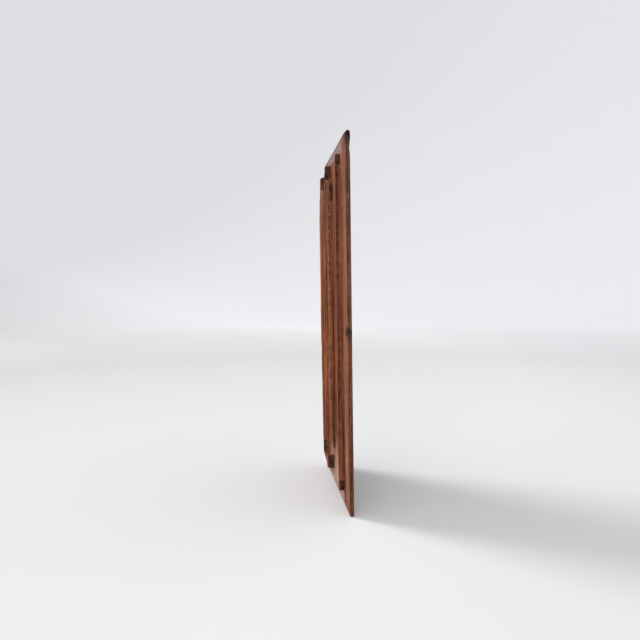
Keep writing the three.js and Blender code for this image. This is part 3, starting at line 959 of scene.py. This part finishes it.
def plain_wood(n, noise):
    """Colour of the clean wood: its figure, its fibres and the veils over them."""
    figure = n.math("ADD", n.times(noise["bands"], 0.55), n.times(noise["streaks"], 0.45))
    warm = n.times(n.attribute("warmth"), 0.8)
    wood = n.mix(warm, n.ramp(figure, BROWNS), n.ramp(figure, WARM_BROWNS))
    wood = n.mix(0.45, wood, n.ramp(noise["fibres"], [(0.38, 0.40), (0.60, 1.0)]), "MULTIPLY")
    upright_faces = n.attribute("upright")
    for name, start, full, strength, tone in VEILS:
        share = n.fade(noise[name], start, full)
        if name == "cuts":
            share = n.times(share, upright_faces)
        wood = n.mix(n.times(share, strength), wood, rgba(tone))
    return wood


def oak():
    """Dark waxed oak with grain along Z, hollows darkened by soil and painted shade, arrises rubbed light with
    painted highlights, and bare and polished ground with painted sheen.
    """
    n = Nodes("old_oak")
    place = n.place()
    noise = {name: n.noise(place, *settings) for name, settings in NOISES.items()}
    wood = plain_wood(n, noise)

    wear_and_highlight, soil_and_shade = n.attribute("wear_and_highlight"), n.attribute("soil_and_shade")
    rub_and_highlight = n.times(wear_and_highlight, n.ramp(noise["spots"], [(0.38, 0.3), (0.58, 1.0)]))
    wood = n.mix(n.times(rub_and_highlight, 0.7, clamp=True), wood, rgba(WEAR_AND_HIGHLIGHT_TONE))
    bare_and_sheen = n.times(n.attribute("bare_and_sheen"), n.ramp(noise["streaks"], [(0.40, 0.45), (0.54, 1.0)]))
    wood = n.mix(n.times(bare_and_sheen, 0.75, clamp=True), wood, rgba(BARE_AND_SHEEN_TONE))
    polish_and_sheen = n.times(n.math("SUBTRACT", wear_and_highlight, 1.0), 2.5, clamp=True)
    wood = n.mix(n.times(polish_and_sheen, 0.46), wood, rgba(POLISH_AND_SHEEN_TONE))
    pore = n.fade(noise["pores"], 0.43, 0.36)
    wood = n.mix(n.times(pore, 0.5), wood, rgba(PORE_TONE))
    wood = n.mix(soil_and_shade, wood, n.ramp(noise["spots"], SOIL_AND_SHADE_TONES))

    relief = n.math("ADD", n.times(noise["streaks"], 0.5), n.times(noise["fibres"], 0.25))
    relief = n.math("SUBTRACT", relief, n.times(pore, 0.35))
    relief = n.math("ADD", relief, n.times(noise["spots"], 0.35))
    bump = n.add("ShaderNodeBump", {"Strength": 0.6, "Distance": 0.0005, "Height": relief}).outputs[0]
    varied = n.math("ADD", n.times(noise["clouds"], 0.5), n.times(noise["streaks"], 0.5))
    rough = n.math("SUBTRACT", n.ramp(varied, [(0.38, 0.40), (0.62, 0.58)]), n.times(bare_and_sheen, 0.28))
    gloss = n.math("SUBTRACT", 0.5, n.times(soil_and_shade, 0.45))
    return n.surface({
        "Base Color": wood, "Roughness": rough, "Normal": bump, "IOR": 1.13, "Specular IOR Level": gloss,
        "Coat Weight": n.times(polish_and_sheen, 0.25), "Coat Roughness": 0.35, "Coat Normal": bump,
    })


# The stage, the lights and the camera, in metres

FLOOR_RADIUS = 4.0
FLOOR_INNER_RADIUS = 0.6
BOWL_RADIUS = 2.5
BOWL_HEIGHT = 5.0
BOWL_STEPS = 24
STAGE_SIDES = 96
# Tones of the stage by distance, as a share of the reach: from its middle, and from below the key light; the
# greyer tones are painted shade that evens out the lamps' light
TONE_REACH = 8.0
STAGE_TONES = [(0.08, 0.70), (0.22, 0.66), (0.36, 0.77), (0.50, 0.90)]
KEY_TONES = [(0.0, 0.50), (0.20, 0.68), (0.40, 1.0)]
COOL_TINT = 0.005

KEY_LIGHT = {"place": (-1.9, -2.4, 2.4), "size": 1.5, "power": 98.0}
FILL_LIGHT = {"place": (3.2, -1.2, 1.5), "size": 2.0, "power": 24.0}
SKY_TONE = (0.97, 0.98, 1.0)
SKY_STRENGTH = 0.88
CAMERA = {"place": (0.8472, -0.1144, 0.0413), "yaw": 0.1005, "pitch": -0.0459, "roll": -0.0139, "lens": 36.0}
SENSOR_WIDTH = 36
CLIP_START = 0.01


def studio_white():
    """Plain matt white with painted shade: greyer near the middle and below the key light, so that floor and wall
    look alike.
    """
    n = Nodes("studio_white")
    place = n.place()
    from_middle = n.math("DIVIDE", n.distance(place), TONE_REACH)
    tones = n.ramp(from_middle, [(share, (tone, tone, tone + COOL_TINT)) for share, tone in STAGE_TONES])
    key_x, key_y, _ = KEY_LIGHT["place"]
    beside_key = n.add("ShaderNodeMapping", {0: place, "Location": (-key_x, -key_y, 0.0)}).outputs[0]
    from_key = n.math("DIVIDE", n.distance(beside_key), TONE_REACH)
    tones = n.mix(1.0, tones, n.ramp(from_key, KEY_TONES), "MULTIPLY")
    return n.surface({"Base Color": tones, "Roughness": 0.95, "Specular IOR Level": 0.1})


def make_stage(floor_level):
    """A pale floor that curves up into a plain wall all round."""
    profile = [(0.0, 0.0), (FLOOR_INNER_RADIUS, 0.0), (FLOOR_RADIUS, 0.0)]
    for k in range(1, BOWL_STEPS + 1):
        angle = math.pi / 2 * k / BOWL_STEPS
        profile.append((FLOOR_RADIUS + BOWL_RADIUS * math.sin(angle), BOWL_RADIUS * (1 - math.cos(angle))))
    profile.append((FLOOR_RADIUS + BOWL_RADIUS, BOWL_HEIGHT))
    points = [(0, 0, floor_level)]
    for radius, rise in profile[1:]:
        for k in range(STAGE_SIDES):
            angle = 2 * math.pi * k / STAGE_SIDES
            points.append((radius * math.cos(angle), radius * math.sin(angle), floor_level + rise))
    faces = [(0, 1 + k, 1 + (k + 1) % STAGE_SIDES) for k in range(STAGE_SIDES)]
    for ring in range(len(profile) - 2):
        for k in range(STAGE_SIDES):
            a, b = 1 + ring * STAGE_SIDES + k, 1 + ring * STAGE_SIDES + (k + 1) % STAGE_SIDES
            faces.append((a, a + STAGE_SIDES, b + STAGE_SIDES, b))
    mesh = bpy.data.meshes.new("studio_floor")
    mesh.from_pydata(points, [], faces)
    mesh.shade_smooth()
    mesh.materials.append(studio_white())
    stage = bpy.data.objects.new("studio_floor", mesh)
    bpy.context.scene.collection.objects.link(stage)
    return stage


def soft_light(name, place, size, power):
    """A round area light that shines on the middle of the panel."""
    lamp = bpy.data.lights.new(name, "AREA")
    lamp.shape = "DISK"
    lamp.size = size
    lamp.energy = power
    light = bpy.data.objects.new(name, lamp)
    light.location = place
    light.rotation_euler = (-Vector(place)).to_track_quat("-Z", "Y").to_euler()
    bpy.context.scene.collection.objects.link(light)


def make_sky():
    """Even light from all round."""
    sky = bpy.data.worlds.new("studio")
    sky.use_nodes = True
    background = sky.node_tree.nodes["Background"]
    background.inputs["Color"].default_value = rgba(SKY_TONE)
    background.inputs["Strength"].default_value = SKY_STRENGTH
    bpy.context.scene.world = sky


def make_camera(place, yaw, pitch, roll, lens):
    """The photograph's camera: yaw turns it from looking along -X towards +Y."""
    forward = Vector((-math.cos(yaw) * math.cos(pitch), math.sin(yaw) * math.cos(pitch), math.sin(pitch)))
    level_right = forward.cross(Vector((0, 0, 1))).normalized()
    level_up = level_right.cross(forward)
    right = math.cos(roll) * level_right + math.sin(roll) * level_up
    up = -math.sin(roll) * level_right + math.cos(roll) * level_up
    camera = bpy.data.objects.new("camera", bpy.data.cameras.new("camera"))
    camera.data.lens = lens
    camera.data.sensor_width = SENSOR_WIDTH
    camera.data.clip_start = CLIP_START
    turn = Matrix((right, up, -forward)).transposed().to_4x4()
    camera.matrix_world = Matrix.Translation(place) @ turn
    bpy.context.scene.collection.objects.link(camera)
    bpy.context.scene.camera = camera


panel = make_panel()
panel.data.materials.append(oak())
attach(panel, "root")
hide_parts("linenfold_panel")

# The floor lies half a millimetre below the panel
make_stage(panel_low[2] - 0.0005)
soft_light("key", **KEY_LIGHT)
soft_light("fill", **FILL_LIGHT)
make_sky()
bpy.context.scene.view_settings.view_transform = "Standard"
make_camera(**CAMERA)
